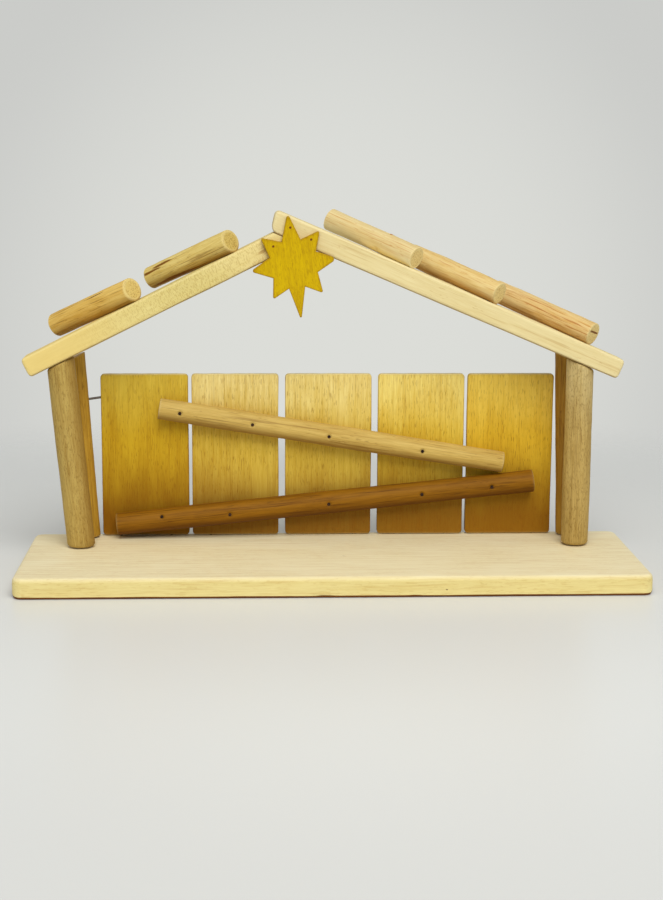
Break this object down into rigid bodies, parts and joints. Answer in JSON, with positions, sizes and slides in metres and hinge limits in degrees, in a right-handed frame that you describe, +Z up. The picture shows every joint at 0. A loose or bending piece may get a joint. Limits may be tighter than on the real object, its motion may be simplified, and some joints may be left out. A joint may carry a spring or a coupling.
{
  "type": "nativity stable",
  "caption": "Open-fronted wooden nativity stable: flat base, round posts, a back wall of boards with slanting rails, pitched roof beams carrying skewed logs, and a star.",
  "frame": {"origin": "middle of the underside of the base board", "axes": "+X to the right along the front, +Y towards the back wall, +Z up; the open front faces -Y"},
  "size_m": [0.33, 0.1002, 0.1936],
  "materials": {
    "base_wood": "matte, sanded, bare pine",
    "board_wood": "satin honey stain",
    "front_post_wood": "matte stain",
    "rear_post_wood": "matte stain",
    "beam_wood": "matte, sanded",
    "left_log_wood": "matte stain",
    "right_log_wood": "matte stain",
    "upper_rail_wood": "matte stain",
    "lower_rail_wood": "matte stain",
    "star_wood": "matte gold stain",
    "dark_steel": "darkened",
    "screw_steel": "plain"
  },
  "bodies": {
    "root": {"apex_nail": "dark_steel", "back_board_1": "board_wood", "back_board_2": "board_wood", "back_board_3": "board_wood", "back_board_4": "board_wood", "back_board_5": "board_wood", "base_board": "base_wood", "beam_nails": "dark_steel", "board_pins": "dark_steel", "front_post_left": "front_post_wood", "front_post_right": "front_post_wood", "log_nails": "dark_steel", "post_screws": "screw_steel", "rail_lower": "lower_rail_wood", "rail_nails": "dark_steel", "rail_upper": "upper_rail_wood", "rear_post_left": "rear_post_wood", "rear_post_right": "rear_post_wood", "roof_beam_left": "beam_wood", "roof_beam_right": "beam_wood", "roof_log_left_1": "left_log_wood", "roof_log_left_2": "left_log_wood", "roof_log_right_1": "right_log_wood", "roof_log_right_2": "right_log_wood", "roof_log_right_3": "right_log_wood", "star": "star_wood", "star_brads": "dark_steel", "wall_nail": "dark_steel"}
  },
  "joints": []
}
